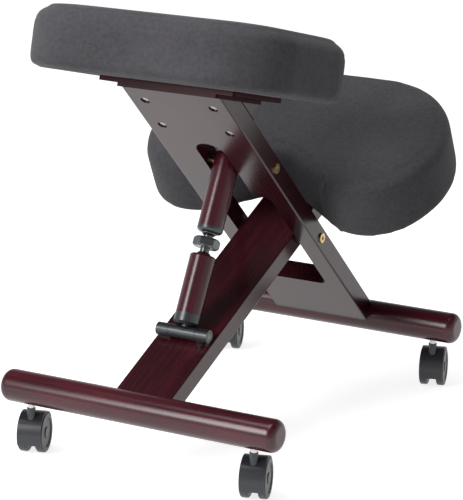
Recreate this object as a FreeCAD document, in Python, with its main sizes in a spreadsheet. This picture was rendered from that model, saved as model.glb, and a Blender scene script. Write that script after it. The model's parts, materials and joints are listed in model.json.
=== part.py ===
import FreeCAD, Part

# Kneeling chair: a padded seat on a leaning board, a knee cushion on a beam
# that passes through a window in that board, and a screw strut with a hand nut
# between the two, all on two round bars with four twin-wheel casters.
# Axes: +Z up, the knee cushion towards -Y, the seat towards +Y, and the origin
# on the floor below the middle of the whole chair. Left and right are the
# sitter's, so left is +X.

import os
from math import asin, atan2, cos, degrees, hypot, radians, sin, sqrt

import Sketcher
from FreeCAD import Placement, Rotation, Vector

DIMENSIONS = {
    # round bars
    "bar_length": 487.0,
    "bar_radius": 25.4,
    "bar_end_round": 12.5,
    "bar_spacing": 604.0,
    # seat frame board, measured from the front bar's axis
    "board_width": 174.6,
    "board_thickness": 32.3,
    "board_length": 693.0,
    "board_lean": 44.41,
    "board_bar_depth": 19.6,
    "board_edge_round": 2.5,
    "pivot_reach": 262.9,
    "cross_pin_reach": 474.3,
    # opening in the board
    "slot_width": 50.2,
    "slot_above_pin": 51.4,
    "window_width": 108.6,
    "window_above_pivot": 141.1,
    "window_below_pivot": 131.4,
    "shoulder_round": 12.0,
    "window_top_round": 10.0,
    "window_foot_round": 12.0,
    # knee beam, measured from the rear bar's axis
    "beam_width": 99.0,
    "beam_thickness": 31.4,
    "beam_overhang": 211.0,
    # pivot bolts through the board
    "bolt_radius": 6.0,
    "bolt_head_radius": 8.0,
    "bolt_head_height": 2.6,
    "bolt_key_width": 6.0,
    "bolt_key_depth": 1.6,
    "bolt_shoulder": 27.3,
    "bolt_thread_radius": 4.0,
    "bolt_thread_length": 36.0,
    "running_clearance": 0.05,
    "open_pivot_clearance": 0.8,
    # screws at the top of the board
    "screw_spread": 119.6,
    "screw_upper_row": 33.0,
    "screw_lower_row": 101.5,
    "counterbore_radius": 7.5,
    "counterbore_depth": 6.5,
    "screw_head_radius": 6.25,
    "screw_head_height": 4.0,
    "screw_radius": 2.5,
    "screw_length": 8.0,
    "screw_clearance": 0.1,
    # wedge block under the seat plates
    "wedge_reach": 55.7,
    "wedge_drop": 49.7,
    "wedge_toe_height": 5.4,
    "wedge_toe_depth": 2.9,
    "wedge_hollow": 2.5,
    # seat plates, measured from the board's rear top edge
    "lower_plate_length": 139.4,
    "lower_plate_thickness": 6.0,
    "lower_plate_overhang": 14.0,
    "upper_plate_width": 236.0,
    "upper_plate_length": 149.2,
    "upper_plate_thickness": 7.5,
    "upper_plate_overhang": 17.6,
    "plate_corner_round": 3.0,
    # seat cushion
    "seat_tilt": 15.0,
    "seat_width": 445.5,
    "seat_depth": 328.0,
    "seat_corner": 103.0,
    "seat_centre": 36.7,
    "seat_thickness": 101.8,
    "seat_lower_round": 12.0,
    "seat_shoulder_height": 29.0,
    "seat_shoulder_width": 32.0,
    "seat_crown_height": 2.8,
    "seat_crown_width": 50.0,
    # knee cushion, measured from the rear bar's axis
    "knee_top": 740.0,
    "knee_top_width": 184.0,
    "knee_corner": 165.0,
    "knee_lobe": 93.0,
    "knee_lobe_turn": 29.0,
    "knee_notch": 60.0,
    "knee_notch_height": 516.9,
    "knee_thickness": 93.0,
    "knee_lower_round": 12.0,
    "knee_shoulder_height": 16.0,
    "knee_shoulder_width": 20.0,
    "knee_crown_height": 3.0,
    "knee_crown_width": 40.0,
    # hinge at the foot of the strut
    "hinge_reach": 153.8,
    "hinge_height": 11.3,
    "hinge_pin_radius": 5.0,
    "knuckle_radius": 10.2,
    "knuckle_length": 47.0,
    "knuckle_gap": 0.3,
    "foot_length": 21.8,
    "foot_width": 13.0,
    "foot_screw_radius": 4.8,
    "foot_screw_height": 3.5,
    "foot_screw_side": 33.0,
    "foot_screw_setback": 12.5,
    # screw strut, measured from the hinge pin
    "neck_radius": 6.0,
    "neck_length": 34.0,
    "ferrule_start": 11.5,
    "ferrule_length": 17.5,
    "ferrule_floor": 3.0,
    "ferrule_wall": 2.0,
    "ferrule_chamfer": 4.0,
    "sleeve_radius": 20.5,
    "lower_sleeve_length": 95.0,
    "sleeve_edge_round": 3.5,
    "insert_flange_radius": 9.5,
    "insert_flange_height": 3.0,
    "insert_radius": 8.0,
    "insert_length": 25.0,
    "rod_radius": 6.0,
    "rod_engagement": 60.0,
    "rod_bore_radius": 6.6,
    "rod_bore_spare": 12.0,
    "nut_width": 34.0,
    "nut_height": 11.0,
    "nut_chamfer": 1.5,
    "cap_height": 9.0,
    "cap_round": 6.0,
    "upper_sleeve_length": 107.5,
    "sleeve_top": 19.0,
    "sleeve_top_round": 12.0,
    # casters
    "stem_spacing": 397.2,
    "stem_radius": 5.5,
    "stem_depth": 37.4,
    "stem_gap": 5.9,
    "pintle_radius": 4.0,
    "pintle_length": 34.4,
    "wheel_radius": 31.5,
    "wheel_width": 12.9,
    "wheel_round": 3.0,
    "wheel_dish_depth": 1.5,
    "wheel_dish_radius": 24.0,
    "wheel_hub_radius": 8.0,
    "wheel_gap": 0.6,
    "wheel_bore_spare": 0.4,
    "web_thickness": 14.0,
    "web_hub_radius": 9.0,
    "hood_width": 38.0,
    "hood_wall": 1.7,
    "hood_clearance": 0.8,
    "hood_edge_height": 8.8,
    "hood_far_angle": 150.0,
    "collar_radius": 6.75,
    "collar_rise": 44.9,
    "caster_trail": 15.0,
    "caster_swivel": 17.3,
    "axle_radius": 3.0,
    "axle_length": 34.4,
}

X_AXIS = Vector(1, 0, 0)
Z_AXIS = Vector(0, 0, 1)

doc = FreeCAD.newDocument("KneelingChair")
sheet = doc.addObject("Spreadsheet::Sheet", "Sheet")
for row, (alias, value) in enumerate(DIMENSIONS.items(), 1):
    sheet.set(f"A{row}", alias)
    sheet.set(f"B{row}", str(value))
    sheet.setAlias(f"B{row}", alias)
doc.recompute()

subparts = []


class Size:
    """A sheet dimension, or a sum or product of some, with its expression."""

    def __init__(self, text, value):
        self.text = text
        self.value = value

    def joined(self, sign, other, value):
        other_text = other.text if isinstance(other, Size) else repr(other)
        return Size(f"({self.text} {sign} {other_text})", value)

    def __add__(self, other):
        return self.joined("+", other, self.value + float(other))

    def __sub__(self, other):
        return self.joined("-", other, self.value - float(other))

    def __mul__(self, other):
        return self.joined("*", other, self.value * float(other))

    def __truediv__(self, other):
        return self.joined("/", other, self.value / float(other))

    def __neg__(self):
        return self * -1.0

    def __float__(self):
        return self.value


class Dimensions:
    """The sheet's cells by name."""

    def __getattr__(self, alias):
        return Size(f"Sheet.{alias}", float(sheet.get(alias)))


dim = Dimensions()


# Shared ways of making and driving objects

def drive(obj, prop, value):
    """Bind a property to the sheet, or set it where it is a plain number."""
    if isinstance(value, Size):
        obj.setExpression(prop, value.text)
    else:
        setattr(obj, prop, value)


def finish(obj, label, frame):
    """Name a sub-part and set it in its place."""
    obj.Label = label
    obj.Placement = frame
    subparts.append(obj)
    return obj


def shift(x=0.0, y=0.0, z=0.0):
    return Placement(Vector(float(x), float(y), float(z)), Rotation())


def turn(axis, angle):
    return Placement(Vector(), Rotation(axis, float(angle)))


def sketch_on(body, role, lift=0.0):
    """New sketch on one of the body's own planes, or parallel to it."""
    plane = next(item for item in body.Origin.OriginFeatures if item.Role == role)
    sketch = body.newObject("Sketcher::SketchObject", body.Name + "_sketch")
    sketch.AttachmentSupport = [(plane, "")]
    sketch.MapMode = "FlatFace"
    if isinstance(lift, Size):
        sketch.setExpression("AttachmentOffset.Base.z", lift.text)
    else:
        sketch.AttachmentOffset = shift(z=lift)
    return sketch


def bound_constraint(sketch, size, *parts):
    index = sketch.addConstraint(Sketcher.Constraint(*parts, float(size)))
    if isinstance(size, Size):
        sketch.setExpression(f"Constraints[{index}]", size.text)


def outline(sketch, pieces):
    """Closed run of lines and arcs, each joined to the next where they meet."""
    indices = sketch.addGeometry(pieces, False)
    ends = []
    for index, piece in zip(indices, pieces):
        ends.append((index, 1, piece.StartPoint))
        ends.append((index, 2, piece.EndPoint))
    while ends:
        index, end, point = ends.pop()
        for other in ends:
            if other[2].isEqual(point, 1e-5):
                joint = Sketcher.Constraint("Coincident", index, end, other[0], other[1])
                sketch.addConstraint(joint)
                ends.remove(other)
                break
    return indices


def rectangle(sketch, width, length):
    """Rectangle centred on the sketch's upright axis, standing on the other."""
    half = float(width) / 2
    top = float(length)
    corners = [Vector(-half, 0), Vector(half, 0), Vector(half, top), Vector(-half, top)]
    sides = [Part.LineSegment(a, b) for a, b in zip(corners, corners[1:] + corners[:1])]
    base, right, lid, left = outline(sketch, sides)
    sketch.addConstraint(Sketcher.Constraint("Horizontal", lid))
    sketch.addConstraint(Sketcher.Constraint("Vertical", right))
    sketch.addConstraint(Sketcher.Constraint("Vertical", left))
    sketch.addConstraint(Sketcher.Constraint("Symmetric", base, 1, base, 2, -1, 1))
    bound_constraint(sketch, width, "DistanceX", base, 1, base, 2)
    bound_constraint(sketch, length, "DistanceY", right, 1, right, 2)


def circle(sketch, x, y, radius):
    """Circle in a sketch, its radius bound and its centre placed."""
    ring = Part.Circle(Vector(float(x), float(y), 0), Z_AXIS, float(radius))
    index = sketch.addGeometry(ring, False)
    bound_constraint(sketch, radius, "Radius", index)
    for kind, axis, value in (("DistanceX", -2, x), ("DistanceY", -1, y)):
        if float(value) == 0.0:
            sketch.addConstraint(Sketcher.Constraint("PointOnObject", index, 3, axis))
        else:
            bound_constraint(sketch, value, kind, -1, 1, index, 3)


def arc(x, y, radius, start, end):
    """Arc of a circle, counter-clockwise between two angles in degrees."""
    ring = Part.Circle(Vector(float(x), float(y), 0), Z_AXIS, float(radius))
    return Part.ArcOfCircle(ring, radians(start), radians(end))


def pad(body, sketch, length, symmetric=False):
    feature = body.newObject("PartDesign::Pad", body.Name + "_pad")
    feature.Profile = sketch
    feature.SideType = "Symmetric" if symmetric else "One side"
    drive(feature, "Length", length)
    doc.recompute()
    return feature


def pocket(body, sketch, length=None, reverse=False):
    """Cut a sketch through the whole body both ways, or to a depth one way."""
    before = body.Shape.Volume
    feature = body.newObject("PartDesign::Pocket", body.Name + "_pocket")
    feature.Profile = sketch
    if length is None:
        feature.SideType = "Symmetric"
        feature.Type = "ThroughAll"
    else:
        drive(feature, "Length", length)
    feature.Reversed = reverse
    doc.recompute()
    if not body.Shape.Volume < before - 1.0:
        raise RuntimeError(f"{feature.Name} cut nothing")
    return feature


def fillet(body, radius, wanted):
    """Round the edges of a body that a test picks out."""
    base = body.Tip
    names = [f"Edge{i}" for i, edge in enumerate(base.Shape.Edges, 1) if wanted(edge)]
    feature = body.newObject("PartDesign::Fillet", body.Name + "_fillet")
    feature.Base = (base, names)
    drive(feature, "Radius", radius)
    doc.recompute()
    return feature


def runs_along(edge, axis):
    """Whether an edge is straight and parallel to an axis."""
    if edge.Curve.TypeId != "Part::GeomLine":
        return False
    return abs(abs(edge.Curve.Direction.dot(axis)) - 1) < 1e-6


def cylinder(name, radius, length, start=(0, 0, 0), along=Z_AXIS):
    obj = doc.addObject("Part::Cylinder", name)
    drive(obj, "Radius", radius)
    drive(obj, "Height", length)
    obj.Placement = Placement(Vector(*map(float, start)), Rotation(Z_AXIS, along))
    for axis, value in zip("xyz", start):
        if isinstance(value, Size):
            drive(obj, f"Placement.Base.{axis}", value)
    return obj


def fuse(name, *shapes):
    obj = doc.addObject("Part::MultiFuse", name)
    obj.Shapes = list(shapes)
    return obj


def cut(name, base, tool):
    obj = doc.addObject("Part::Cut", name)
    obj.Base = base
    obj.Tool = tool
    return obj


def group(name, items):
    obj = doc.addObject("Part::Compound", name)
    obj.Links = list(items)
    return obj


def rounded(name, base, radius, wanted, kind="Fillet"):
    """Round or chamfer the edges of a primitive that a test picks out."""
    doc.recompute()
    obj = doc.addObject("Part::" + kind, name)
    obj.Base = base
    edges = [i for i, edge in enumerate(base.Shape.Edges, 1) if wanted(edge)]
    obj.Edges = [(i, float(radius), float(radius)) for i in edges]
    return obj


def ring_at(height):
    """Test for a round edge at a height."""
    def wanted(edge):
        flat = edge.BoundBox.ZLength < 1e-6
        return flat and edge.Curve.TypeId == "Part::GeomCircle" and abs(edge.BoundBox.ZMin - height) < 1e-6
    return wanted


# Places of the main pieces, as (forward, up) from the rear bar's foot

bar_height = dim.wheel_radius + dim.collar_rise + dim.stem_gap + dim.bar_radius
board_middle = dim.board_thickness / 2 - dim.board_bar_depth
board_rear_face = -dim.board_bar_depth
lean = radians(float(dim.board_lean))


def on_board(along, depth):
    """Point at a distance along the board and in front of the bar's axis."""
    forward = float(dim.bar_spacing) - float(along) * cos(lean) + float(depth) * sin(lean)
    up = float(bar_height) + float(along) * sin(lean) + float(depth) * cos(lean)
    return forward, up


pivot = on_board(dim.pivot_reach, board_middle)
cross_pin = on_board(dim.cross_pin_reach, board_middle)
seat_edge = on_board(dim.board_length, board_rear_face)
beam_reach = hypot(pivot[0], pivot[1] - float(bar_height))
beam_rise = atan2(pivot[1] - float(bar_height), pivot[0])


def on_beam(along, height):
    """Point at a distance along the beam and above its middle plane."""
    forward = float(along) * cos(beam_rise) - float(height) * sin(beam_rise)
    up = float(bar_height) + float(along) * sin(beam_rise) + float(height) * cos(beam_rise)
    return forward, up


beam_top = dim.beam_thickness / 2
hinge = on_beam(dim.hinge_reach, beam_top + dim.hinge_height)
strut_length = hypot(cross_pin[0] - hinge[0], cross_pin[1] - hinge[1])
strut_lean = degrees(atan2(cross_pin[0] - hinge[0], cross_pin[1] - hinge[1]))


def at(point, rotation=Placement()):
    """Frame at a (forward, up) point; forward is -Y."""
    return shift(y=-point[0], z=point[1]) * rotation


FACE_KNEES = turn(Z_AXIS, 180)
rear_bar_frame = at((0.0, bar_height.value))
front_bar_frame = at((dim.bar_spacing.value, bar_height.value))
board_frame = front_bar_frame * turn(X_AXIS, dim.board_lean)
beam_frame = rear_bar_frame * turn(X_AXIS, -degrees(beam_rise)) * FACE_KNEES
seat_frame = at(seat_edge, turn(X_AXIS, dim.seat_tilt)) * FACE_KNEES
strut_frame = at(hinge, turn(X_AXIS, strut_lean))
hinge_frame = at(hinge, turn(X_AXIS, -degrees(beam_rise)) * FACE_KNEES)


# Bars and caster stems

def build_bar(label, frame):
    """Round bar with rounded ends and a stem socket near each end."""
    body = doc.addObject("PartDesign::Body", label)
    section = sketch_on(body, "YZ_Plane")
    circle(section, 0, 0, dim.bar_radius)
    pad(body, section, dim.bar_length, symmetric=True)
    fillet(body, dim.bar_end_round, lambda edge: edge.Curve.TypeId == "Part::GeomCircle")
    socket_top = dim.stem_depth - dim.bar_radius
    sockets = sketch_on(body, "XY_Plane", socket_top)
    for side in (-0.5, 0.5):
        circle(sockets, dim.stem_spacing * side, 0, dim.stem_radius + dim.running_clearance)
    pocket(body, sockets, dim.stem_depth)
    finish(body, label, frame)


def build_stems(label, frame):
    """Two caster stems: a shaft in the bar's socket, a thinner pintle below it."""
    stems = []
    for side in (-0.5, 0.5):
        x = dim.stem_spacing * side
        shoulder = -(dim.bar_radius + dim.stem_gap)
        shaft_length = dim.stem_gap + dim.stem_depth - dim.running_clearance
        shaft = cylinder(label + "_shaft", dim.stem_radius, shaft_length, (x, 0, shoulder))
        foot = shoulder - dim.pintle_length
        pintle = cylinder(label + "_pintle", dim.pintle_radius, dim.pintle_length, (x, 0, foot))
        stems.append(fuse(label + "_stem", shaft, pintle))
    finish(group(label, stems), label, frame)


# Seat frame board

def window_outline():
    """Narrow arched slot above, wider window below, on the board's face."""
    slot = float(dim.slot_width) / 2
    wide = float(dim.window_width) / 2
    arch = float(dim.cross_pin_reach + dim.slot_above_pin)
    shoulder = float(dim.pivot_reach + dim.window_above_pivot)
    foot = float(dim.pivot_reach - dim.window_below_pivot)
    step = float(dim.shoulder_round)
    top = float(dim.window_top_round)
    low = float(dim.window_foot_round)
    pieces = [
        arc(0, arch, slot, 0, 180),
        Part.LineSegment(Vector(low - wide, foot), Vector(wide - low, foot)),
    ]
    for side in (-1, 1):
        def line(x1, y1, x2, y2, side=side):
            return Part.LineSegment(Vector(side * x1, y1), Vector(side * x2, y2))

        def corner(x, y, radius, quarter, side=side):
            start = quarter if side == 1 else 90 - quarter
            return arc(side * x, y, radius, start, start + 90)

        pieces += [
            line(slot, arch, slot, shoulder + step),
            corner(slot + step, shoulder + step, step, 180),
            line(slot + step, shoulder, wide - top, shoulder),
            corner(wide - top, shoulder - top, top, 0),
            line(wide, shoulder - top, wide, foot + low),
            corner(wide - low, foot + low, low, -90),
        ]
    return pieces


def build_board(label, frame):
    body = doc.addObject("PartDesign::Body", label)
    face = sketch_on(body, "XY_Plane", board_rear_face)
    rectangle(face, dim.board_width, dim.board_length)
    outline(face, window_outline())
    pad(body, face, dim.board_thickness)

    def long_outer_edge(edge):
        at_side = abs(abs(edge.BoundBox.Center.x) - dim.board_width.value / 2) < 1e-6
        return runs_along(edge, Vector(0, 1, 0)) and at_side

    fillet(body, dim.board_edge_round, long_outer_edge)

    bores = sketch_on(body, "YZ_Plane")
    circle(bores, 0, 0, dim.bar_radius)
    for reach in (dim.pivot_reach, dim.cross_pin_reach):
        circle(bores, reach, board_middle, dim.bolt_radius + dim.running_clearance)
    pocket(body, bores)

    # The top is cut to the underside of the seat plates.
    slope = lean - radians(float(dim.seat_tilt))
    edge = Vector(dim.board_length.value, board_rear_face.value)
    beyond = Vector(cos(slope), -sin(slope)) * dim.board_edge_round.value
    run = Vector(-cos(slope), sin(slope)) * (dim.board_thickness.value / sin(slope))
    low_end = edge + beyond
    high_end = edge + run - beyond
    corners = [low_end, Vector(low_end.x, high_end.y), high_end]
    top = sketch_on(body, "YZ_Plane")
    outline(top, [Part.LineSegment(a, b) for a, b in zip(corners, corners[1:] + corners[:1])])
    pocket(body, top)

    shank = dim.screw_radius + dim.screw_clearance
    hole_depth = dim.counterbore_depth + dim.screw_length + dim.screw_clearance
    for radius, depth in ((dim.counterbore_radius, dim.counterbore_depth), (shank, hole_depth)):
        holes = sketch_on(body, "XY_Plane", board_rear_face)
        for side in (-0.5, 0.5):
            for row in (dim.screw_upper_row, dim.screw_lower_row):
                circle(holes, dim.screw_spread * side, dim.board_length - row, radius)
        pocket(body, holes, depth, reverse=True)
    finish(body, label, frame)


def build_frame_screws(label, frame):
    """Four pan-head screws at the bottom of the board's counterbores."""
    screws = []
    seat = board_rear_face + dim.counterbore_depth
    for side in (-0.5, 0.5):
        for row in (dim.screw_upper_row, dim.screw_lower_row):
            x = dim.screw_spread * side
            y = dim.board_length - row
            head_start = (x, y, seat - dim.screw_head_height)
            head = cylinder(label + "_head", dim.screw_head_radius, dim.screw_head_height, head_start)
            shank = cylinder(label + "_shank", dim.screw_radius, dim.screw_length, (x, y, seat))
            screws.append(fuse(label + "_screw", head, shank))
    finish(group(label, screws), label, frame)


def build_wedge_block(label, frame):
    """Filler in the corner between the board's front face and the seat plates."""
    slope = lean - radians(float(dim.seat_tilt))
    down = Vector(cos(slope), -sin(slope))
    out = Vector(sin(slope), cos(slope))
    corner = Vector(dim.board_thickness.value / sin(slope), 0)
    tip = corner + Vector(dim.wedge_reach.value, 0)
    foot = corner + down * dim.wedge_drop.value
    toe = foot - down * dim.wedge_toe_height.value + out * dim.wedge_toe_depth.value
    chord = toe - tip
    inward = Vector(chord.y, -chord.x).normalize()
    hollow = (tip + toe) / 2 + inward * dim.wedge_hollow.value
    body = doc.addObject("PartDesign::Body", label)
    side = sketch_on(body, "YZ_Plane")
    outline(side, [
        Part.LineSegment(corner, tip),
        Part.Arc(tip, hollow, toe),
        Part.LineSegment(toe, foot),
        Part.LineSegment(foot, corner),
    ])
    pad(body, side, dim.board_width, symmetric=True)
    finish(body, label, frame)


# Knee beam

def build_beam(label, frame):
    body = doc.addObject("PartDesign::Body", label)
    face = sketch_on(body, "XY_Plane")
    rectangle(face, dim.beam_width, dim.beam_overhang + beam_reach)
    pad(body, face, dim.beam_thickness, symmetric=True)
    fillet(body, dim.board_edge_round, lambda edge: runs_along(edge, Vector(0, 1, 0)))
    bores = sketch_on(body, "YZ_Plane")
    circle(bores, 0, 0, dim.bar_radius)
    circle(bores, beam_reach, 0, dim.bolt_radius + dim.running_clearance)
    pocket(body, bores)
    finish(body, label, frame)


# Pivot bolts: a barrel with a head at one end, a screw with a head at the other

def hex_key(name, start, along):
    key = doc.addObject("Part::Prism", name)
    drive(key, "Circumradius", dim.bolt_key_width / sqrt(3))
    drive(key, "Height", dim.bolt_key_depth * 2)
    key.Placement = Placement(Vector(*start), Rotation(Z_AXIS, along))
    return key


def build_bolt(name, reach, frame):
    half = dim.board_width / 2
    y = reach.value
    z = board_middle.value
    inner = -(half - dim.bolt_shoulder)
    shank = cylinder(name + "_tube", dim.bolt_radius, half - inner, (inner, y, z), X_AXIS)
    head = cylinder(name + "_cap", dim.bolt_head_radius, dim.bolt_head_height, (half, y, z), X_AXIS)
    solid = fuse(name + "_barrel_solid", shank, head)
    thread_room = dim.bolt_thread_length + dim.running_clearance
    bore_radius = dim.bolt_thread_radius + dim.running_clearance
    bore = cylinder(name + "_bore", bore_radius, thread_room, (inner, y, z), X_AXIS)
    face = (half + dim.bolt_head_height - dim.bolt_key_depth).value
    key = hex_key(name + "_barrel_key", (face, y, z), X_AXIS)
    barrel = cut(name + "_barrel", solid, fuse(name + "_barrel_cuts", bore, key))
    finish(barrel, name + "_barrel", frame)

    outer = -(half + dim.bolt_head_height)
    cap = cylinder(name + "_screw_cap", dim.bolt_head_radius, dim.bolt_head_height, (outer, y, z), X_AXIS)
    body = cylinder(name + "_shoulder", dim.bolt_radius, dim.bolt_shoulder, (-half, y, z), X_AXIS)
    thread = cylinder(name + "_thread", dim.bolt_thread_radius, dim.bolt_thread_length, (inner, y, z), X_AXIS)
    key_face = (outer - dim.bolt_key_depth).value
    screw_key = hex_key(name + "_screw_key", (key_face, y, z), X_AXIS)
    screw = cut(name + "_screw", fuse(name + "_screw_solid", cap, body, thread), screw_key)
    finish(screw, name + "_screw", frame)


# Seat plates and cushions

def build_plate(label, width, length, thickness, overhang, lift):
    body = doc.addObject("PartDesign::Body", label)
    face = sketch_on(body, "XY_Plane")
    rectangle(face, width, length)
    pad(body, face, thickness)
    fillet(body, dim.plate_corner_round, lambda edge: runs_along(edge, Z_AXIS))
    finish(body, label, seat_frame * shift(y=-overhang, z=lift))


def cushion_levels(thickness, low_round, shoulder_height, shoulder_width, crown_height, crown_width):
    """(height, inset) of a cushion's sections: rounded foot, side, shoulder, crown."""
    levels = []
    for angle in range(0, 91, 18):
        rise = low_round * (1 - cos(radians(angle)))
        levels.append((rise, low_round * (1 - sin(radians(angle)))))
    start = thickness - crown_height - shoulder_height
    for angle in range(0, 91, 15):
        rise = start + shoulder_height * sin(radians(angle))
        levels.append((rise, shoulder_width * (1 - cos(radians(angle)))))
    for share in (0.4, 1.0):
        rise = thickness - crown_height * (1 - share) ** 2
        levels.append((rise, shoulder_width + crown_width * share))
    return levels


def seat_section(height, inset):
    """Rounded rectangle, drawn in by an inset."""
    radius = dim.seat_corner.value - inset
    half_width = dim.seat_width.value / 2 - dim.seat_corner.value
    half_depth = dim.seat_depth.value / 2 - dim.seat_corner.value
    edges = []
    corners = ((half_width, half_depth, 0), (-half_width, half_depth, 90),
               (-half_width, -half_depth, 180), (half_width, -half_depth, 270))
    for index, (x, y, start) in enumerate(corners):
        bend = arc(x, y, radius, start, start + 90)
        after = corners[(index + 1) % 4]
        following = arc(after[0], after[1], radius, after[2], after[2] + 90)
        edges += [bend.toShape(), Part.LineSegment(bend.EndPoint, following.StartPoint).toShape()]
    wire = Part.Wire(edges)
    wire.translate(Vector(0, 0, height))
    return wire


def knee_section(height, inset):
    """Two lobes with a shallow notch between them, drawn in by an inset."""
    corner_x = dim.knee_top_width.value / 2
    corner_y = (dim.knee_top - dim.knee_corner).value
    handover = radians(dim.knee_lobe_turn.value)
    shorter = (dim.knee_corner - dim.knee_lobe).value
    lobe_x = corner_x + shorter * cos(handover)
    lobe_y = corner_y - shorter * sin(handover)
    notch_y = (dim.knee_notch_height - dim.knee_notch).value
    apart = hypot(lobe_x, lobe_y - notch_y)
    spread = asin((dim.knee_lobe + dim.knee_notch).value / apart)
    # Bearing of the straight side of the notch, which touches both arcs.
    bearing = degrees(atan2(notch_y - lobe_y, -lobe_x) - spread) % 360
    flank = bearing - 90
    big = dim.knee_corner.value - inset
    lobe = dim.knee_lobe.value - inset
    hollow = dim.knee_notch.value + inset
    right_corner = arc(corner_x, corner_y, big, -dim.knee_lobe_turn.value, 90)
    right_lobe = arc(lobe_x, lobe_y, lobe, bearing + 90 - 360, -dim.knee_lobe_turn.value)
    notch = arc(0, notch_y, hollow, flank, 180 - flank)
    left_lobe = arc(-lobe_x, lobe_y, lobe, 180 + dim.knee_lobe_turn.value, 540 - bearing - 90)
    left_corner = arc(-corner_x, corner_y, big, 90, 180 + dim.knee_lobe_turn.value)
    pieces = [
        right_corner,
        Part.LineSegment(right_corner.EndPoint, left_corner.StartPoint),
        left_corner,
        left_lobe,
        Part.LineSegment(left_lobe.EndPoint, notch.EndPoint),
        notch,
        Part.LineSegment(notch.StartPoint, right_lobe.StartPoint),
        right_lobe,
    ]
    wire = Part.Wire(Part.sortEdges([piece.toShape() for piece in pieces])[0])
    wire.translate(Vector(0, 0, height))
    return wire


def build_cushion(label, section, levels, frame):
    obj = doc.addObject("Part::Feature", label)
    obj.Shape = Part.makeLoft([section(height, inset) for height, inset in levels], True, True)
    finish(obj, label, frame)


def build_cushions():
    plates = dim.lower_plate_thickness + dim.upper_plate_thickness
    seat_levels = cushion_levels(
        dim.seat_thickness.value, dim.seat_lower_round.value,
        dim.seat_shoulder_height.value, dim.seat_shoulder_width.value,
        dim.seat_crown_height.value, dim.seat_crown_width.value)
    build_cushion("seat_cushion", seat_section, seat_levels, seat_frame * shift(y=dim.seat_centre, z=plates))
    knee_levels = cushion_levels(
        dim.knee_thickness.value, dim.knee_lower_round.value,
        dim.knee_shoulder_height.value, dim.knee_shoulder_width.value,
        dim.knee_crown_height.value, dim.knee_crown_width.value)
    build_cushion("knee_cushion", knee_section, knee_levels, beam_frame * shift(z=beam_top))


# Hinge at the foot of the strut; its frame has X along the pin and Z off the beam

def build_hinge():
    drop = dim.hinge_height
    half = dim.knuckle_length / 2
    bore_radius = dim.hinge_pin_radius + dim.running_clearance
    for name, side in (("hinge_foot_left", -1), ("hinge_foot_right", 1)):
        inner = half + dim.knuckle_gap
        start = inner if side == 1 else -(inner + dim.foot_length)
        knuckle = cylinder(name + "_knuckle", dim.knuckle_radius, dim.foot_length, (start, 0, 0), X_AXIS)
        block = doc.addObject("Part::Box", name + "_block")
        drive(block, "Length", dim.foot_length)
        drive(block, "Width", dim.foot_width)
        drive(block, "Height", drop)
        block.Placement = shift(start, -dim.foot_width / 2, -drop)
        solid = fuse(name + "_solid", knuckle, block)
        bore = cylinder(name + "_bore", bore_radius, dim.foot_length, (start, 0, 0), X_AXIS)
        finish(cut(name, solid, bore), name, hinge_frame)
    pin_end = half + dim.knuckle_gap + dim.foot_length
    pin = cylinder("hinge_pin_shaft", dim.hinge_pin_radius, pin_end * 2, (-pin_end, 0, 0), X_AXIS)
    finish(group("hinge_pin", [pin]), "hinge_pin", hinge_frame)
    head_start = (dim.foot_screw_side, -dim.foot_screw_setback, -drop)
    head = cylinder("foot_screw_head", dim.foot_screw_radius, dim.foot_screw_height, head_start)
    finish(group("foot_screw", [head]), "foot_screw", hinge_frame)


# Screw strut; its frame has X along the hinge pin and Z towards the cross pin

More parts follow.
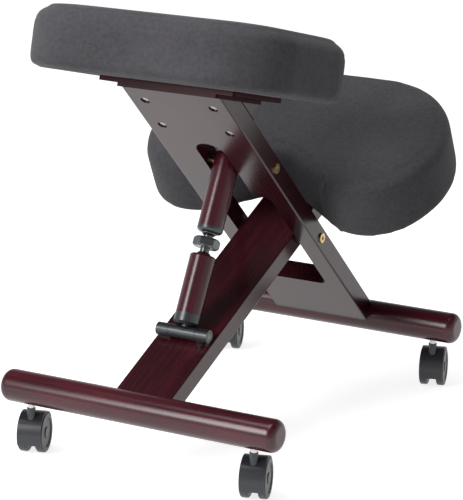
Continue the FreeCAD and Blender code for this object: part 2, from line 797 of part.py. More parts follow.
def build_strut():
    half = dim.knuckle_length / 2
    ferrule_end = dim.ferrule_start + dim.ferrule_length
    tenon_start = dim.ferrule_start + dim.ferrule_floor
    tenon_radius = dim.sleeve_radius - dim.ferrule_wall
    sleeve_end = ferrule_end + dim.lower_sleeve_length
    flange_end = sleeve_end + dim.insert_flange_height
    rod_bore = dim.rod_radius + dim.running_clearance

    # Centre knuckle with a neck that enters the lower sleeve.
    knuckle = cylinder("knuckle_roll", dim.knuckle_radius, dim.knuckle_length, (-half, 0, 0), X_AXIS)
    neck = cylinder("knuckle_neck", dim.neck_radius, dim.neck_length)
    pin_radius = dim.hinge_pin_radius + dim.running_clearance
    pin_bore = cylinder("knuckle_bore", pin_radius, dim.knuckle_length, (-half, 0, 0), X_AXIS)
    centre = cut("centre_knuckle", fuse("knuckle_solid", knuckle, neck), pin_bore)
    finish(centre, "centre_knuckle", strut_frame)

    # Ferrule: a chamfered cup round the lower sleeve's foot.
    cup = cylinder("ferrule_cup", dim.sleeve_radius, dim.ferrule_length, (0, 0, dim.ferrule_start))
    cup = rounded("ferrule_chamfered", cup, dim.ferrule_chamfer, ring_at(dim.ferrule_start.value), "Chamfer")
    room = cylinder("ferrule_room", tenon_radius, dim.ferrule_length, (0, 0, tenon_start))
    hole = cylinder("ferrule_hole", dim.neck_radius, dim.ferrule_length, (0, 0, 0))
    finish(cut("lower_ferrule", cup, fuse("ferrule_cuts", room, hole)), "lower_ferrule", strut_frame)

    # Lower sleeve: a tenon in the ferrule, and a bore for the insert and the rod.
    tenon = cylinder("sleeve_tenon", tenon_radius, ferrule_end - tenon_start, (0, 0, tenon_start))
    barrel = cylinder("sleeve_barrel", dim.sleeve_radius, dim.lower_sleeve_length, (0, 0, ferrule_end))
    barrel = rounded("sleeve_rounded", barrel, dim.sleeve_edge_round, ring_at(sleeve_end.value))
    neck_room = cylinder("sleeve_neck_room", dim.neck_radius, dim.neck_length)
    insert_start = sleeve_end - dim.insert_length
    insert_room = cylinder("sleeve_insert_room", dim.insert_radius, dim.insert_length, (0, 0, insert_start))
    rod_room_depth = dim.rod_engagement + dim.rod_bore_spare
    rod_room_start = (0, 0, sleeve_end - rod_room_depth)
    rod_room = cylinder("sleeve_rod_room", dim.rod_bore_radius, rod_room_depth, rod_room_start)
    rooms = fuse("sleeve_rooms", neck_room, insert_room, rod_room)
    finish(cut("lower_sleeve", fuse("sleeve_solid", tenon, barrel), rooms), "lower_sleeve", strut_frame)

    # Threaded insert with a flange on the sleeve's end.
    tube = cylinder("insert_tube", dim.insert_radius, dim.insert_length, (0, 0, insert_start))
    flange = cylinder("insert_flange", dim.insert_flange_radius, dim.insert_flange_height, (0, 0, sleeve_end))
    insert_bore_length = dim.insert_length + dim.insert_flange_height
    insert_bore = cylinder("insert_bore", rod_bore, insert_bore_length, (0, 0, insert_start))
    insert = cut("lower_thread_insert", fuse("insert_solid", tube, flange), insert_bore)
    finish(insert, "lower_thread_insert", strut_frame)

    # Upper sleeve: hangs from the cross pin, over the rod, with a rounded top.
    pin_height = strut_length
    upper_start = pin_height - dim.upper_sleeve_length.value
    upper_end = pin_height + dim.sleeve_top.value
    upper_height = dim.upper_sleeve_length + dim.sleeve_top
    upper = cylinder("upper_barrel", dim.sleeve_radius, upper_height, (0, 0, upper_start))
    upper = rounded("upper_rounded", upper, dim.sleeve_top_round, ring_at(upper_end))
    upper_room = cylinder("upper_rod_room", dim.rod_bore_radius, rod_room_depth, (0, 0, upper_start))
    cross_radius = dim.bolt_radius + dim.open_pivot_clearance
    cross_start = (-dim.sleeve_radius, 0, pin_height)
    cross_bore = cylinder("upper_cross_bore", cross_radius, dim.sleeve_radius * 2, cross_start, X_AXIS)
    upper_rooms = fuse("upper_rooms", upper_room, cross_bore)
    finish(cut("upper_sleeve", upper, upper_rooms), "upper_sleeve", strut_frame)

    # End cap under the upper sleeve, threaded on the rod.
    cap_start = upper_start - dim.cap_height.value
    cap = cylinder("cap_disc", dim.sleeve_radius, dim.cap_height, (0, 0, cap_start))
    cap = rounded("cap_rounded", cap, dim.cap_round, ring_at(cap_start))
    cap_bore = cylinder("cap_bore", rod_bore, dim.cap_height, (0, 0, cap_start))
    finish(cut("upper_end_cap", cap, cap_bore), "upper_end_cap", strut_frame)

    # Rod, and the hand nut midway between the two sleeves.
    rod_start = (sleeve_end - dim.rod_engagement).value
    rod_end = cap_start + (dim.cap_height + dim.rod_engagement).value
    rod = cylinder("rod_shaft", dim.rod_radius, rod_end - rod_start, (0, 0, rod_start))
    finish(group("threaded_rod", [rod]), "threaded_rod", strut_frame)
    nut_start = (flange_end.value + cap_start - dim.nut_height.value) / 2
    prism = doc.addObject("Part::Prism", "nut_prism")
    drive(prism, "Circumradius", dim.nut_width / sqrt(3))
    drive(prism, "Height", dim.nut_height)
    prism.Placement = shift(z=nut_start)
    blank = cylinder("nut_blank", dim.nut_width / sqrt(3), dim.nut_height, (0, 0, nut_start))
    blank_edges = lambda edge: edge.Curve.TypeId == "Part::GeomCircle"
    blank = rounded("nut_blank_chamfered", blank, dim.nut_chamfer, blank_edges, "Chamfer")
    hexagon = doc.addObject("Part::Common", "nut_hexagon")
    hexagon.Base = prism
    hexagon.Tool = blank
    nut_bore = cylinder("nut_bore", rod_bore, dim.nut_height, (0, 0, nut_start))
    finish(cut("hand_nut", hexagon, nut_bore), "hand_nut", strut_frame)


# Casters; their frame has X along the axle and the stem over the origin

def build_hood(label, frame):
    body = doc.addObject("PartDesign::Body", label)
    axle_y = -dim.caster_trail.value
    axle_z = dim.wheel_radius.value
    inner = (dim.wheel_radius + dim.hood_clearance).value
    outer = inner + dim.hood_wall.value
    far = dim.hood_far_angle.value
    low_inner = -degrees(asin((dim.wheel_radius - dim.hood_edge_height).value / inner))
    low_outer = -degrees(asin((dim.wheel_radius - dim.hood_edge_height).value / outer))

    shell = sketch_on(body, "YZ_Plane")
    inside = arc(axle_y, axle_z, inner, low_inner, far)
    outside = arc(axle_y, axle_z, outer, low_outer, far)
    outline(shell, [
        inside,
        Part.LineSegment(inside.EndPoint, outside.EndPoint),
        outside,
        Part.LineSegment(outside.StartPoint, inside.StartPoint),
    ])
    pad(body, shell, dim.hood_width, symmetric=True)

    # Web between the wheels, from the axle's hub out to the shell.
    hub = dim.web_hub_radius.value
    web = sketch_on(body, "YZ_Plane")
    rim = arc(axle_y, axle_z, outer, low_outer, far)
    boss = arc(axle_y, axle_z, hub, far, 360 + low_outer)
    outline(web, [
        rim,
        Part.LineSegment(rim.EndPoint, boss.StartPoint),
        boss,
        Part.LineSegment(boss.EndPoint, rim.StartPoint),
    ])
    pad(body, web, dim.web_thickness, symmetric=True)
    collar = sketch_on(body, "XY_Plane", dim.wheel_radius)
    circle(collar, 0, 0, dim.collar_radius)
    pad(body, collar, dim.collar_rise)

    stem_bore = sketch_on(body, "XY_Plane", dim.wheel_radius + dim.collar_rise)
    circle(stem_bore, 0, 0, dim.pintle_radius + dim.running_clearance)
    pocket(body, stem_bore, dim.pintle_length + dim.running_clearance)
    axle_bore = sketch_on(body, "YZ_Plane")
    circle(axle_bore, -dim.caster_trail, dim.wheel_radius, dim.axle_radius)
    pocket(body, axle_bore)
    finish(body, label, frame)


def wheel_profile():
    """Half section of a wheel: radius across, distance from the web upward."""
    width = dim.wheel_width.value
    radius = dim.wheel_radius.value
    bore = (dim.axle_radius + dim.running_clearance).value
    inner_face = (dim.web_thickness / 2 + dim.wheel_gap).value
    bore_depth = (dim.axle_length / 2 + dim.wheel_bore_spare).value - inner_face
    corner = dim.wheel_round.value
    dish = dim.wheel_dish_depth.value
    hub = dim.wheel_hub_radius.value
    rim = dim.wheel_dish_radius.value
    points = [
        (0, bore_depth), (bore, bore_depth), (bore, 0), (radius - corner, 0),
    ]
    after = [
        (radius - corner, width), (rim, width), (rim - dish, width - dish),
        (hub + dish, width - dish), (hub, width), (0, width),
    ]

    def lines(run):
        ends = [Vector(x, y) for x, y in run]
        return [Part.LineSegment(a, b) for a, b in zip(ends, ends[1:])]

    return lines(points) + [
        arc(radius - corner, corner, corner, -90, 0),
        Part.LineSegment(Vector(radius, corner), Vector(radius, width - corner)),
        arc(radius - corner, width - corner, corner, 0, 90),
    ] + lines(after) + [Part.LineSegment(Vector(0, width), Vector(0, bore_depth))]


def build_wheel(label, side, frame):
    body = doc.addObject("PartDesign::Body", label)
    half_section = sketch_on(body, "XZ_Plane")
    outline(half_section, wheel_profile())
    wheel = body.newObject("PartDesign::Revolution", label + "_turned")
    wheel.Profile = half_section
    wheel.ReferenceAxis = (half_section, ["V_Axis"])
    wheel.Angle = 360
    inner_face = (dim.web_thickness / 2 + dim.wheel_gap).value
    upright = turn(Vector(0, 1, 0), 90 * side)
    axle = shift(side * inner_face, -dim.caster_trail, dim.wheel_radius)
    finish(body, label, frame * axle * upright)


def build_caster(place, frame):
    build_hood(f"caster_hood_{place}", frame)
    start = (-dim.axle_length / 2, -dim.caster_trail, dim.wheel_radius)
    axle = cylinder(f"axle_shaft_{place}", dim.axle_radius, dim.axle_length, start, X_AXIS)
    finish(group(f"caster_axle_{place}", [axle]), f"caster_axle_{place}", frame)
    build_wheel(f"caster_wheel_{place}_a", 1, frame)
    build_wheel(f"caster_wheel_{place}_b", -1, frame)


# The chair

build_bar("rear_bar", rear_bar_frame)
build_bar("front_bar", front_bar_frame)
build_stems("rear_caster_stems", rear_bar_frame)
build_stems("front_caster_stems", front_bar_frame)
build_beam("knee_beam", beam_frame)
build_board("seat_frame_board", board_frame)
build_frame_screws("frame_screws", board_frame)
build_wedge_block("seat_wedge_block", seat_frame)
build_plate("seat_lower_plate", dim.board_width, dim.lower_plate_length,
            dim.lower_plate_thickness, dim.lower_plate_overhang, 0.0)
build_plate("seat_upper_plate", dim.upper_plate_width, dim.upper_plate_length,
            dim.upper_plate_thickness, dim.upper_plate_overhang, dim.lower_plate_thickness)
build_cushions()
build_bolt("pivot", dim.pivot_reach, board_frame)
build_bolt("cross_pin", dim.cross_pin_reach, board_frame)
build_hinge()
build_strut()

for end, bar_forward in (("rear", 0.0), ("front", dim.bar_spacing.value)):
    for hand, side in (("left", 0.5), ("right", -0.5)):
        stem = shift(x=dim.stem_spacing * side, y=-bar_forward)
        build_caster(f"{end}_{hand}", stem * turn(Z_AXIS, dim.caster_swivel))

doc.recompute()

# The origin goes below the middle of the whole chair.
box = FreeCAD.BoundBox()
for part in subparts:
    box.add(part.Shape.optimalBoundingBox(False, False))
centring = shift(y=-box.Center.y)
for part in subparts:
    part.Placement = centring * part.Placement
doc.recompute()


# Checks and export

for obj in doc.Objects:
    if "Invalid" in obj.State or "Error" in obj.State:
        raise RuntimeError(f"{obj.Name} failed: {obj.State}")
os.makedirs("parts", exist_ok=True)
for part in subparts:
    if part.Shape.isNull() or not part.Shape.isValid():
        raise RuntimeError(f"{part.Label} has no valid shape")
    part.Shape.exportStep(f"parts/{part.Label}.step")


def report(name, point):
    print(f"{name}: y {-point[0] - box.Center.y:.4f}, z {point[1]:.4f}")


print(f"{len(subparts)} sub-parts, size {box.XLength:.2f} x {box.YLength:.2f} x {box.ZLength:.2f}")
report("rear bar", (0.0, bar_height.value))
report("front bar", (dim.bar_spacing.value, bar_height.value))
report("pivot", pivot)
report("cross pin", cross_pin)
report("hinge", hinge)
print(f"strut length {strut_length:.4f}, lean {strut_lean:.4f}, beam rise {degrees(beam_rise):.4f}")
for part in subparts:
    volume = part.Shape.Volume / 1000
    print(f"{part.Label}: {len(part.Shape.Solids)} solid, {volume:.2f} cm3")
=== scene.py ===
import json
import math

import bmesh
import bpy
import numpy as np
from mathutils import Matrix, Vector


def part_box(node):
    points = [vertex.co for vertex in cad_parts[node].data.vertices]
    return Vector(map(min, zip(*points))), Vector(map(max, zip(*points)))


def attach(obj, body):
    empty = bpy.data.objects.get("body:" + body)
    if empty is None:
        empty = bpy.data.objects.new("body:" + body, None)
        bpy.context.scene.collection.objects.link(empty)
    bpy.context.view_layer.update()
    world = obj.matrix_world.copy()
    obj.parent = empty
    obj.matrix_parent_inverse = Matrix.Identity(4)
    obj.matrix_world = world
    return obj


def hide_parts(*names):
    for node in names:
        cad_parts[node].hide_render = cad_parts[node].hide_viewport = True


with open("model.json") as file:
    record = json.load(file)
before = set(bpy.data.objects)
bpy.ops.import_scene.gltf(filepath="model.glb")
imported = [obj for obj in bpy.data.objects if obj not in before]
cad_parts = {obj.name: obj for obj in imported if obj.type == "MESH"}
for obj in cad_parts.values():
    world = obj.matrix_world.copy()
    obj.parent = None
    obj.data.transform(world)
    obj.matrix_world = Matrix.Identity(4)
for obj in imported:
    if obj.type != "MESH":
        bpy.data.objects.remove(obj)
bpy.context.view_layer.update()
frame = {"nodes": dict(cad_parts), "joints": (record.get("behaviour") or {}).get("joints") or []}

# The photograph's frame and view
PHOTO_WIDTH = 463
PHOTO_HEIGHT = 500
FOCAL_PIXELS = 2587.94
SENSOR = 36.0
CAMERA_AZIMUTH = 210.12
CAMERA_ELEVATION = 15.88
CAMERA_DISTANCE = 4.1298
CAMERA_TARGET = Vector((0.01996, 0.01025, 0.2790))

# Cushions, in metres except for the angle, the pressure and the counts
SEAT_TILT = 15.0
MESH_STEP = 0.006
DRAWN_IN = 0.0015
SWELL = 0.003
PRESSURE = 30.0
CLOTH_FRAMES = 20
SEAM_WIDTH = 0.0022
SEAM_SINK = 0.0009

# Screw and hoods, in metres
NUT_FLAT = 0.0185
NUT_RADIUS = 0.0214
NUT_HEIGHT = 0.0155
NUT_CHAMFER = 0.0028
NUT_CHAMFER_DEPTH = 0.003
ROD_RADIUS = 0.0076
THREAD_PITCH = 0.0016
THREAD_DEPTH = 0.0006
THREAD_BELOW_NUT = 0.0197
THREAD_ABOVE_NUT = 0.0167
NECK_LENGTH = 0.0046
HOOD_EDGE = 0.0185
TURNED_STEPS = 72

# Light
WORLD_LIGHT = 0.30
CEILING_LEVEL = 0.12
FLOOR_GLOW = 0.78
FLOOR_REACH = 12.0
LIGHT_AIM = (0, 0, 0.35)
KEY_POWER = 70
TOP_POWER = 40

# Directions of the main pieces, read from the frame
JOINTS = {joint["name"]: joint for joint in frame["joints"]}
STRUT_AXIS = Vector(JOINTS["rod_slide"]["axis"])
STRUT_FOOT = Vector(JOINTS["strut_swing"]["pos_m"])
PIVOT = Vector(JOINTS["seat_pivot"]["pos_m"])


def centre_of(node):
    low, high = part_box(node)
    return (low + high) / 2


def direction(start, end):
    return (end - start).normalized()


BOARD_AXIS = direction(centre_of("front_bar"), PIVOT)
BEAM_AXIS = direction(centre_of("rear_bar"), PIVOT)
BAR_AXIS = Vector((1, 0, 0))


# Materials

class Nodes:
    """Short ways of adding shader nodes to one material."""

    def __init__(self, name):
        self.material = bpy.data.materials.new(name)
        self.material.use_nodes = True
        self.tree = self.material.node_tree
        self.tree.nodes.clear()
        self.output = self.add("ShaderNodeOutputMaterial")

    def add(self, kind, **values):
        node = self.tree.nodes.new(kind)
        for key, value in values.items():
            setattr(node, key, value)
        return node

    def link(self, source, target):
        self.tree.links.new(source, target)

    def shader(self, **inputs):
        node = self.add("ShaderNodeBsdfPrincipled")
        for key, value in inputs.items():
            node.inputs[key.replace("_", " ")].default_value = value
        self.link(node.outputs["BSDF"], self.output.inputs["Surface"])
        return node

    def place(self, rotation=(0, 0, 0), scale=(1, 1, 1)):
        """Object coordinates, turned and then scaled."""
        coordinates = self.add("ShaderNodeTexCoord")
        turned = self.add("ShaderNodeMapping")
        turned.inputs["Rotation"].default_value = rotation
        scaled = self.add("ShaderNodeMapping")
        scaled.inputs["Scale"].default_value = scale
        self.link(coordinates.outputs["Object"], turned.inputs["Vector"])
        self.link(turned.outputs["Vector"], scaled.inputs["Vector"])
        return scaled.outputs["Vector"]

    def noise(self, vector, scale, detail=3.0, roughness=0.5, distortion=0.0):
        node = self.add("ShaderNodeTexNoise")
        node.inputs["Scale"].default_value = scale
        node.inputs["Detail"].default_value = detail
        node.inputs["Roughness"].default_value = roughness
        node.inputs["Distortion"].default_value = distortion
        self.link(vector, node.inputs["Vector"])
        return node.outputs["Fac"]

    def ramp(self, source, *stops):
        """Colour ramp through (position, colour) stops."""
        node = self.add("ShaderNodeValToRGB")
        elements = node.color_ramp.elements
        while len(elements) < len(stops):
            elements.new(0.5)
        for element, (position, colour) in zip(elements, stops):
            element.position = position
            element.color = (*colour, 1.0)
        self.link(source, node.inputs["Fac"])
        return node.outputs["Color"]

    def span(self, source, low, high):
        """A factor spread from low to high."""
        node = self.add("ShaderNodeMapRange")
        node.inputs["To Min"].default_value = low
        node.inputs["To Max"].default_value = high
        self.link(source, node.inputs["Value"])
        return node.outputs["Result"]

    def combine(self, operation, first, second):
        node = self.add("ShaderNodeMath", operation=operation)
        for socket, value in zip(node.inputs, (first, second)):
            if isinstance(value, (int, float)):
                socket.default_value = value
            else:
                self.link(value, socket)
        return node.outputs["Value"]

    def bump(self, height, shader, strength, distance):
        node = self.add("ShaderNodeBump")
        node.inputs["Strength"].default_value = strength
        node.inputs["Distance"].default_value = distance
        self.link(height, node.inputs["Height"])
        self.link(node.outputs["Normal"], shader.inputs["Normal"])


def turn_to_x(axis):
    """Euler angles that turn an axis onto X."""
    return axis.rotation_difference(Vector((1, 0, 0))).to_euler()


def wood(name, axis, tint=1.0, coat=1.0):
    """Dark red stained wood with fine grain along an axis, under gloss lacquer."""
    nodes = Nodes(name)
    shader = nodes.shader(
        Specular_IOR_Level=0.0, Coat_Weight=coat, Coat_Roughness=0.24, Coat_IOR=1.5)
    angles = turn_to_x(axis)
    streaks = nodes.noise(nodes.place(angles, (2.0, 60.0, 60.0)), 2.2, 5.0, 0.62, 0.4)
    pores = nodes.noise(nodes.place(angles, (14.0, 420.0, 420.0)), 1.5, 3.0, 0.6)
    patches = nodes.noise(nodes.place(angles, (3.0, 9.0, 9.0)), 1.6, 2.0)
    shares = ((streaks, 0.45), (pores, 0.2), (patches, 0.35))
    parts = [nodes.combine("MULTIPLY", source, share) for source, share in shares]
    mixed = nodes.combine("ADD", nodes.combine("ADD", parts[0], parts[1]), parts[2])
    stops = (
        (0.36, (0.030, 0.0028, 0.0058)),
        (0.50, (0.074, 0.0075, 0.0150)),
        (0.66, (0.135, 0.0150, 0.0290)),
    )
    # tint scales the stain per piece; the board's low tint is painted shade, not a darker stain
    tinted = [(place, tuple(value * tint for value in colour)) for place, colour in stops]
    nodes.link(nodes.ramp(mixed, *tinted), shader.inputs["Base Color"])
    nodes.link(nodes.span(streaks, 0.42, 0.60), shader.inputs["Roughness"])
    nodes.bump(parts[0], shader, 0.10, 0.0004)
    return nodes.material


def fabric(name):
    """Charcoal upholstery cloth with a fine plain weave."""
    nodes = Nodes(name)
    shader = nodes.shader(
        Roughness=0.85, Sheen_Weight=0.12, Sheen_Roughness=0.45, Specular_IOR_Level=0.25)
    place = nodes.place()
    mottle = nodes.combine("MULTIPLY", nodes.noise(place, 160.0, 4.0, 0.6), 0.55)
    clouds = nodes.combine("MULTIPLY", nodes.noise(place, 9.0, 2.0), 0.45)
    mixed = nodes.combine("ADD", mottle, clouds)
    dark, light = (0.050, 0.048, 0.054), (0.082, 0.079, 0.088)
    nodes.link(nodes.ramp(mixed, (0.36, dark), (0.66, light)), shader.inputs["Base Color"])
    threads = []
    for across in ("X", "Y", "Z"):
        wave = nodes.add("ShaderNodeTexWave", wave_type="BANDS", bands_direction=across)
        wave.inputs["Scale"].default_value = 260.0
        wave.inputs["Distortion"].default_value = 1.2
        nodes.link(place, wave.inputs["Vector"])
        threads.append(wave.outputs["Fac"])
    weave = nodes.combine("ADD", nodes.combine("ADD", threads[0], threads[1]), threads[2])
    nodes.bump(weave, shader, 0.25, 0.0003)
    return nodes.material


def metal(name, colour, roughness, metallic=1.0, wear=0.08):
    """Metal with faint smudges in its colour and its gloss."""
    nodes = Nodes(name)
    shader = nodes.shader(Metallic=metallic)
    place = nodes.place()
    smudge = nodes.noise(place, 60.0, 4.0, 0.6)
    dark = tuple(value * (1 - wear * 2) for value in colour)
    nodes.link(nodes.ramp(smudge, (0.35, dark), (0.65, colour)), shader.inputs["Base Color"])
    nodes.link(nodes.span(smudge, roughness - wear, roughness + wear), shader.inputs["Roughness"])
    nodes.bump(nodes.noise(place, 900.0, 2.0), shader, 0.08, 0.0001)
    return nodes.material


def plastic(name, colour, roughness):
    """Moulded plastic with a fine grain."""
    nodes = Nodes(name)
    shader = nodes.shader(IOR=1.5)
    place = nodes.place()
    tint = nodes.noise(place, 40.0, 3.0)
    dark = tuple(value * 0.85 for value in colour)
    nodes.link(nodes.ramp(tint, (0.3, dark), (0.7, colour)), shader.inputs["Base Color"])
    grain = nodes.noise(place, 1500.0, 2.0)
    nodes.link(nodes.span(grain, roughness - 0.06, roughness + 0.06), shader.inputs["Roughness"])
    nodes.bump(grain, shader, 0.12, 0.0001)
    return nodes.material


MATERIALS = {
    "bar_wood": wood("bar_wood", BAR_AXIS, 0.85),
    # The board's copy of the wood is darkened as painted shade, so its down-facing faces read
    # grey under the lights
    "board_wood_painted_shade": wood("board_wood_painted_shade", BOARD_AXIS, 0.45),
    "beam_wood": wood("beam_wood", BEAM_AXIS, 0.6),
    "strut_wood": wood("strut_wood", STRUT_AXIS, 0.9),
    "plate_wood": wood("plate_wood", BAR_AXIS, 0.5, 0.15),
    "fabric": fabric("charcoal_fabric"),
    "black_metal": metal("black_metal", (0.085, 0.090, 0.095), 0.36, 0.8),
    "dark_steel": metal("dark_steel", (0.14, 0.15, 0.155), 0.30, 0.9),
    "bright_steel": metal("bright_steel", (0.55, 0.55, 0.56), 0.28),
    "brass": metal("brass", (0.62, 0.47, 0.24), 0.30),
    "hood_plastic": plastic("hood_plastic", (0.034, 0.036, 0.043), 0.30),
    "wheel_plastic": plastic("wheel_plastic", (0.040, 0.043, 0.047), 0.42),
}

NODE_MATERIALS = {
    "rear_bar": "bar_wood",
    "front_bar": "bar_wood",
    "knee_beam": "beam_wood",
    "seat_frame_board": "board_wood_painted_shade",
    "seat_wedge_block": "board_wood_painted_shade",
    "seat_lower_plate": "plate_wood",
    "seat_upper_plate": "plate_wood",
    "lower_sleeve": "strut_wood",
    "upper_sleeve": "strut_wood",
    "seat_cushion": "fabric",
    "knee_cushion": "fabric",
    "hinge_foot_left": "black_metal",
    "hinge_foot_right": "black_metal",
    "centre_knuckle": "black_metal",
    "lower_ferrule": "black_metal",
    "upper_end_cap": "black_metal",
    "hinge_pin": "dark_steel",
    "foot_screw": "dark_steel",
    "lower_thread_insert": "dark_steel",
    "threaded_rod": "dark_steel",
    "hand_nut": "dark_steel",
    "frame_screws": "bright_steel",
    "rear_caster_stems": "bright_steel",
    "front_caster_stems": "bright_steel",
    "pivot_barrel": "brass",
    "pivot_screw": "brass",
    "cross_pin_barrel": "brass",
    "cross_pin_screw": "brass",
}


def material_of(node):
    if node in NODE_MATERIALS:
        return MATERIALS[NODE_MATERIALS[node]]
    if node.startswith("caster_hood"):
        return MATERIALS["hood_plastic"]
    if node.startswith("caster_wheel"):
        return MATERIALS["wheel_plastic"]
    return MATERIALS["dark_steel"]


for name, node in frame["nodes"].items():
    node.data.materials.clear()
    node.data.materials.append(material_of(name))


# Floor, backdrop and light

def build_floor():
    """Pale floor that keeps the shadow and glows only where it is seen or mirrored."""
    mesh = bpy.data.meshes.new("floor")
    signs = ((-1, -1), (1, -1), (1, 1), (-1, 1))
    corners = [(x * FLOOR_REACH, y * FLOOR_REACH, 0) for x, y in signs]
    mesh.from_pydata(corners, [], [(0, 1, 2, 3)])
    floor = bpy.data.objects.new("floor", mesh)
    bpy.context.scene.collection.objects.link(floor)
    nodes = Nodes("floor")
    diffuse = nodes.add("ShaderNodeBsdfDiffuse")
    diffuse.inputs["Color"].default_value = (0.80, 0.80, 0.80, 1.0)
    glow = nodes.add("ShaderNodeEmission")
    seen = nodes.add("ShaderNodeLightPath")
    straight = seen.outputs["Is Camera Ray"]
    for ray in ("Is Glossy Ray", "Is Transmission Ray"):
        straight = nodes.combine("MAXIMUM", straight, seen.outputs[ray])
    nodes.link(nodes.combine("MULTIPLY", straight, FLOOR_GLOW), glow.inputs["Strength"])
    both = nodes.add("ShaderNodeAddShader")
    nodes.link(diffuse.outputs["BSDF"], both.inputs[0])
    nodes.link(glow.outputs["Emission"], both.inputs[1])
    nodes.link(both.outputs["Shader"], nodes.output.inputs["Surface"])
    mesh.materials.append(nodes.material)


def build_world():
    """White round the horizon for what is seen or mirrored, dimmer overhead and as a light."""
    world = bpy.data.worlds.new("studio")
    bpy.context.scene.world = world
    world.use_nodes = True
    tree = world.node_tree
    tree.nodes.clear()
    output = tree.nodes.new("ShaderNodeOutputWorld")
    background = tree.nodes.new("ShaderNodeBackground")
    seen = tree.nodes.new("ShaderNodeLightPath")
    place = tree.nodes.new("ShaderNodeTexCoord")
    height = tree.nodes.new("ShaderNodeSeparateXYZ")
    tree.links.new(place.outputs["Generated"], height.inputs["Vector"])
    sky = tree.nodes.new("ShaderNodeMapRange")
    sky.inputs["From Min"].default_value = 0.15
    sky.inputs["From Max"].default_value = 0.65
    sky.inputs["To Min"].default_value = 1.0
    sky.inputs["To Max"].default_value = CEILING_LEVEL
    tree.links.new(height.outputs["Z"], sky.inputs["Value"])

    def mix(factor, low, high):
        node = tree.nodes.new("ShaderNodeMix")
        tree.links.new(factor, node.inputs["Factor"])
        for socket, value in ((node.inputs["A"], low), (node.inputs["B"], high)):
            if isinstance(value, float):
                socket.default_value = value
            else:
                tree.links.new(value, socket)
        return node.outputs["Result"]

    mirrored = tree.nodes.new("ShaderNodeMath")
    mirrored.operation = "MAXIMUM"
    tree.links.new(seen.outputs["Is Glossy Ray"], mirrored.inputs[0])
    tree.links.new(seen.outputs["Is Transmission Ray"], mirrored.inputs[1])
    level = mix(mirrored.outputs["Value"], WORLD_LIGHT, sky.outputs["Result"])
    level = mix(seen.outputs["Is Camera Ray"], level, 1.0)
    tree.links.new(level, background.inputs["Strength"])
    tree.links.new(background.outputs["Background"], output.inputs["Surface"])


def area_light(name, place, size, power):
    data = bpy.data.lights.new(name, "AREA")
    data.shape = "RECTANGLE"
    data.size, data.size_y = size
    data.energy = power
    light = bpy.data.objects.new(name, data)
    light.location = place
    aim = Vector(LIGHT_AIM) - Vector(place)
    light.rotation_mode = "QUATERNION"
    light.rotation_quaternion = aim.to_track_quat("-Z", "Y")
    bpy.context.scene.collection.objects.link(light)


def build_lights():
    area_light("key", (1.2, 3.0, 1.9), (1.2, 1.6), KEY_POWER)
    area_light("top", (0.3, 0.6, 3.0), (1.8, 1.8), TOP_POWER)


def build_camera():
    azimuth = math.radians(CAMERA_AZIMUTH)
    elevation = math.radians(CAMERA_ELEVATION)
    level = math.cos(elevation)
    back = Vector((math.sin(azimuth) * level, -math.cos(azimuth) * level, math.sin(elevation)))
    data = bpy.data.cameras.new("camera")
    data.sensor_width = SENSOR
    data.lens = FOCAL_PIXELS * SENSOR / max(PHOTO_WIDTH, PHOTO_HEIGHT)
    camera = bpy.data.objects.new("camera", data)
    camera.location = CAMERA_TARGET + back * CAMERA_DISTANCE
    camera.rotation_mode = "QUATERNION"
    camera.rotation_quaternion = (-back).to_track_quat("-Z", "Y")
    bpy.context.scene.collection.objects.link(camera)
    bpy.context.scene.camera = camera


# Cushions

def applied(obj):
    """Make the evaluated mesh the object's own, without its modifiers."""
    graph = bpy.context.evaluated_depsgraph_get()
    mesh = bpy.data.meshes.new_from_object(obj.evaluated_get(graph))
    obj.modifiers.clear()
    obj.data = mesh


def read(mesh, attribute):
    """All the mesh's points or normals as rows."""
    values = np.zeros(len(mesh.vertices) * 3)
    mesh.vertices.foreach_get(attribute, values)
    return values.reshape(-1, 3)


def move_points(mesh, points):
    mesh.vertices.foreach_set("co", points.ravel())
    mesh.update()


def swell(obj, most):
    """Blow the mesh up as cloth; points move outwards only, up to a cap."""
    start = read(obj.data, "co")
    facing = read(obj.data, "normal")
    cloth = obj.modifiers.new("pressure", "CLOTH")
    cloth.settings.quality = 5
    cloth.settings.mass = 0.2
    cloth.settings.use_pressure = True
    cloth.settings.uniform_pressure_force = PRESSURE
    cloth.settings.effector_weights.gravity = 0.0
    for frame_number in range(1, CLOTH_FRAMES + 1):
        bpy.context.scene.frame_set(frame_number)
    applied(obj)
    bpy.context.scene.frame_set(1)
    outward = np.sum((read(obj.data, "co") - start) * facing, axis=1)
    move_points(obj.data, start + facing * np.clip(outward, 0.0, most)[:, None])


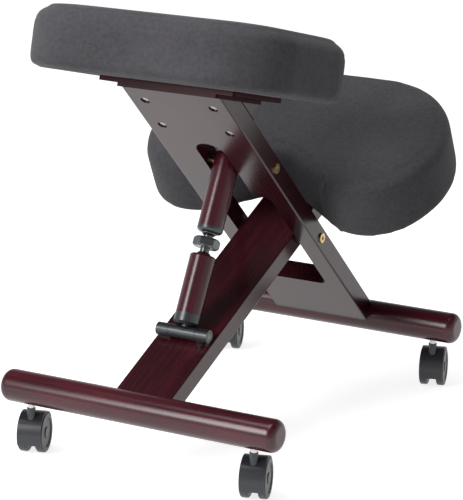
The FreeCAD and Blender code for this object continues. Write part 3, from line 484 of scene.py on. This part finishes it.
def build_cushion(node, name, body, normal, seam_depth, fullness):
    """Foam cushion in tight cloth: the CAD form made fuller across, along and up."""
    source = frame["nodes"][node]
    obj = bpy.data.objects.new(name, source.data.copy())
    bpy.context.scene.collection.objects.link(obj)
    up = np.array(normal)
    across = np.array(BAR_AXIS)
    points = read(source.data, "co")
    foot = points.mean(axis=0)
    foot += up * ((points @ up).min() - foot @ up)
    for axis, factor in zip((across, np.cross(up, across), up), fullness):
        points += np.outer((points - foot) @ axis * (factor - 1.0), axis)
    move_points(obj.data, points)
    heights = points @ up
    underside, top = heights.min(), heights.max()
    remesh = obj.modifiers.new("even", "REMESH")
    remesh.mode = "VOXEL"
    remesh.voxel_size = MESH_STEP
    smoothing = obj.modifiers.new("relax", "SMOOTH")
    smoothing.factor = 0.5
    smoothing.iterations = 8
    applied(obj)
    drawn_in = read(obj.data, "co") - read(obj.data, "normal") * DRAWN_IN
    move_points(obj.data, drawn_in)
    swell(obj, SWELL)
    subdivided = obj.modifiers.new("fine", "SUBSURF")
    subdivided.levels = subdivided.render_levels = 1
    applied(obj)
    points = read(obj.data, "co")
    facing = read(obj.data, "normal")
    height = points @ up
    points += np.outer(np.maximum(underside - height, 0.0), up)
    side = 1.0 - np.abs(facing @ up)
    sink = SEAM_SINK * side * np.exp(-((height - top + seam_depth) / SEAM_WIDTH) ** 2)
    move_points(obj.data, points - facing * sink[:, None])
    obj.data.materials.clear()
    obj.data.materials.append(MATERIALS["fabric"])
    for polygon in obj.data.polygons:
        polygon.use_smooth = True
    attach(obj, body)
    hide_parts(node)


# Screw, nut and caster hoods

def turned(name, node, body, start, profile, flat=None):
    """Piece turned round the strut's axis; with flats it becomes a hexagon."""
    across = STRUT_AXIS.cross(BAR_AXIS).normalized()
    work = bmesh.new()
    rings = []
    for height, radius in profile:
        ring = []
        for step in range(TURNED_STEPS):
            angle = math.tau * step / TURNED_STEPS
            reach = radius
            if flat:
                slice_angle = (angle + math.pi / 6) % (math.pi / 3) - math.pi / 6
                reach = min(radius, flat / math.cos(slice_angle))
            around = BAR_AXIS * math.cos(angle) + across * math.sin(angle)
            ring.append(work.verts.new(start + STRUT_AXIS * height + around * reach))
        rings.append(ring)
    for lower, upper in zip(rings, rings[1:]):
        for step in range(TURNED_STEPS):
            after = (step + 1) % TURNED_STEPS
            work.faces.new((lower[step], lower[after], upper[after], upper[step]))
    work.faces.new(list(reversed(rings[0])))
    work.faces.new(rings[-1])
    bmesh.ops.recalc_face_normals(work, faces=work.faces)
    mesh = bpy.data.meshes.new(name)
    work.to_mesh(mesh)
    work.free()
    for polygon in mesh.polygons:
        polygon.use_smooth = flat is None and len(polygon.vertices) == 4
    mesh.materials.append(MATERIALS["dark_steel"])
    obj = bpy.data.objects.new(name, mesh)
    bpy.context.scene.collection.objects.link(obj)
    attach(obj, body)
    if node:
        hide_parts(node)


def along_strut(node):
    """Where a node's middle lies along the strut, from the hinge pin."""
    return (centre_of(node) - STRUT_FOOT).dot(STRUT_AXIS)


def build_screw():
    """Thread between two flared necks, with a large chamfered hexagon nut."""
    nut = along_strut("hand_nut")
    start = STRUT_FOOT + STRUT_AXIS * nut
    half = NUT_HEIGHT / 2
    turned("hand_nut_hexagon", "hand_nut", "strut_nut", start, (
        (-half, NUT_RADIUS - NUT_CHAMFER_DEPTH), (-half + NUT_CHAMFER, NUT_RADIUS),
        (half - NUT_CHAMFER, NUT_RADIUS), (half, NUT_RADIUS - NUT_CHAMFER_DEPTH)), NUT_FLAT)
    thread = []
    height = -THREAD_BELOW_NUT
    while height < THREAD_ABOVE_NUT:
        thread.append((height, ROD_RADIUS))
        thread.append((height + THREAD_PITCH / 2, ROD_RADIUS - THREAD_DEPTH))
        height += THREAD_PITCH
    turned("screw_thread", None, "strut_rod", start, thread)
    turned("lower_neck", None, "strut_foot", start - STRUT_AXIS * THREAD_BELOW_NUT, (
        (0.0, 0.0125), (0.0012, 0.0122), (0.0036, 0.0095), (NECK_LENGTH, 0.0090)))
    upper = start + STRUT_AXIS * (THREAD_ABOVE_NUT - NECK_LENGTH)
    turned("upper_neck", None, "strut_head", upper, (
        (0.0, 0.0090), (0.0010, 0.0095), (0.0034, 0.0122), (NECK_LENGTH, 0.0125)))


def build_hood(node, body):
    """Caster hood with its lower edge cut back between the wheels."""
    source = frame["nodes"][node]
    work = bmesh.new()
    work.from_mesh(source.data)
    everything = work.verts[:] + work.edges[:] + work.faces[:]
    bmesh.ops.bisect_plane(
        work, geom=everything, plane_co=(0, 0, HOOD_EDGE), plane_no=(0, 0, 1), clear_inner=True)
    rim = [edge for edge in work.edges if edge.is_boundary]
    bmesh.ops.holes_fill(work, edges=rim, sides=0)
    mesh = bpy.data.meshes.new(node + "_cut")
    work.to_mesh(mesh)
    work.free()
    mesh.materials.append(MATERIALS["hood_plastic"])
    obj = bpy.data.objects.new(node + "_cut", mesh)
    bpy.context.scene.collection.objects.link(obj)
    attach(obj, body)
    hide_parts(node)


build_world()
build_floor()
build_lights()
build_camera()
seat_angle = math.radians(SEAT_TILT)
seat_normal = Vector((0.0, -math.sin(seat_angle), math.cos(seat_angle)))
knee_normal = BAR_AXIS.cross(BEAM_AXIS).normalized()
if knee_normal.z < 0:
    knee_normal.negate()
build_cushion("seat_cushion", "seat_pad", "seat_frame", seat_normal, 0.026, (1.0, 1.0, 0.97))
build_cushion("knee_cushion", "knee_pad", "knee_frame", knee_normal, 0.018, (1.022, 1.05, 1.15))
build_screw()
for place in ("rear_left", "rear_right", "front_left", "front_right"):
    build_hood("caster_hood_" + place, "caster_" + place)

bpy.context.scene.view_settings.view_transform = "Standard"
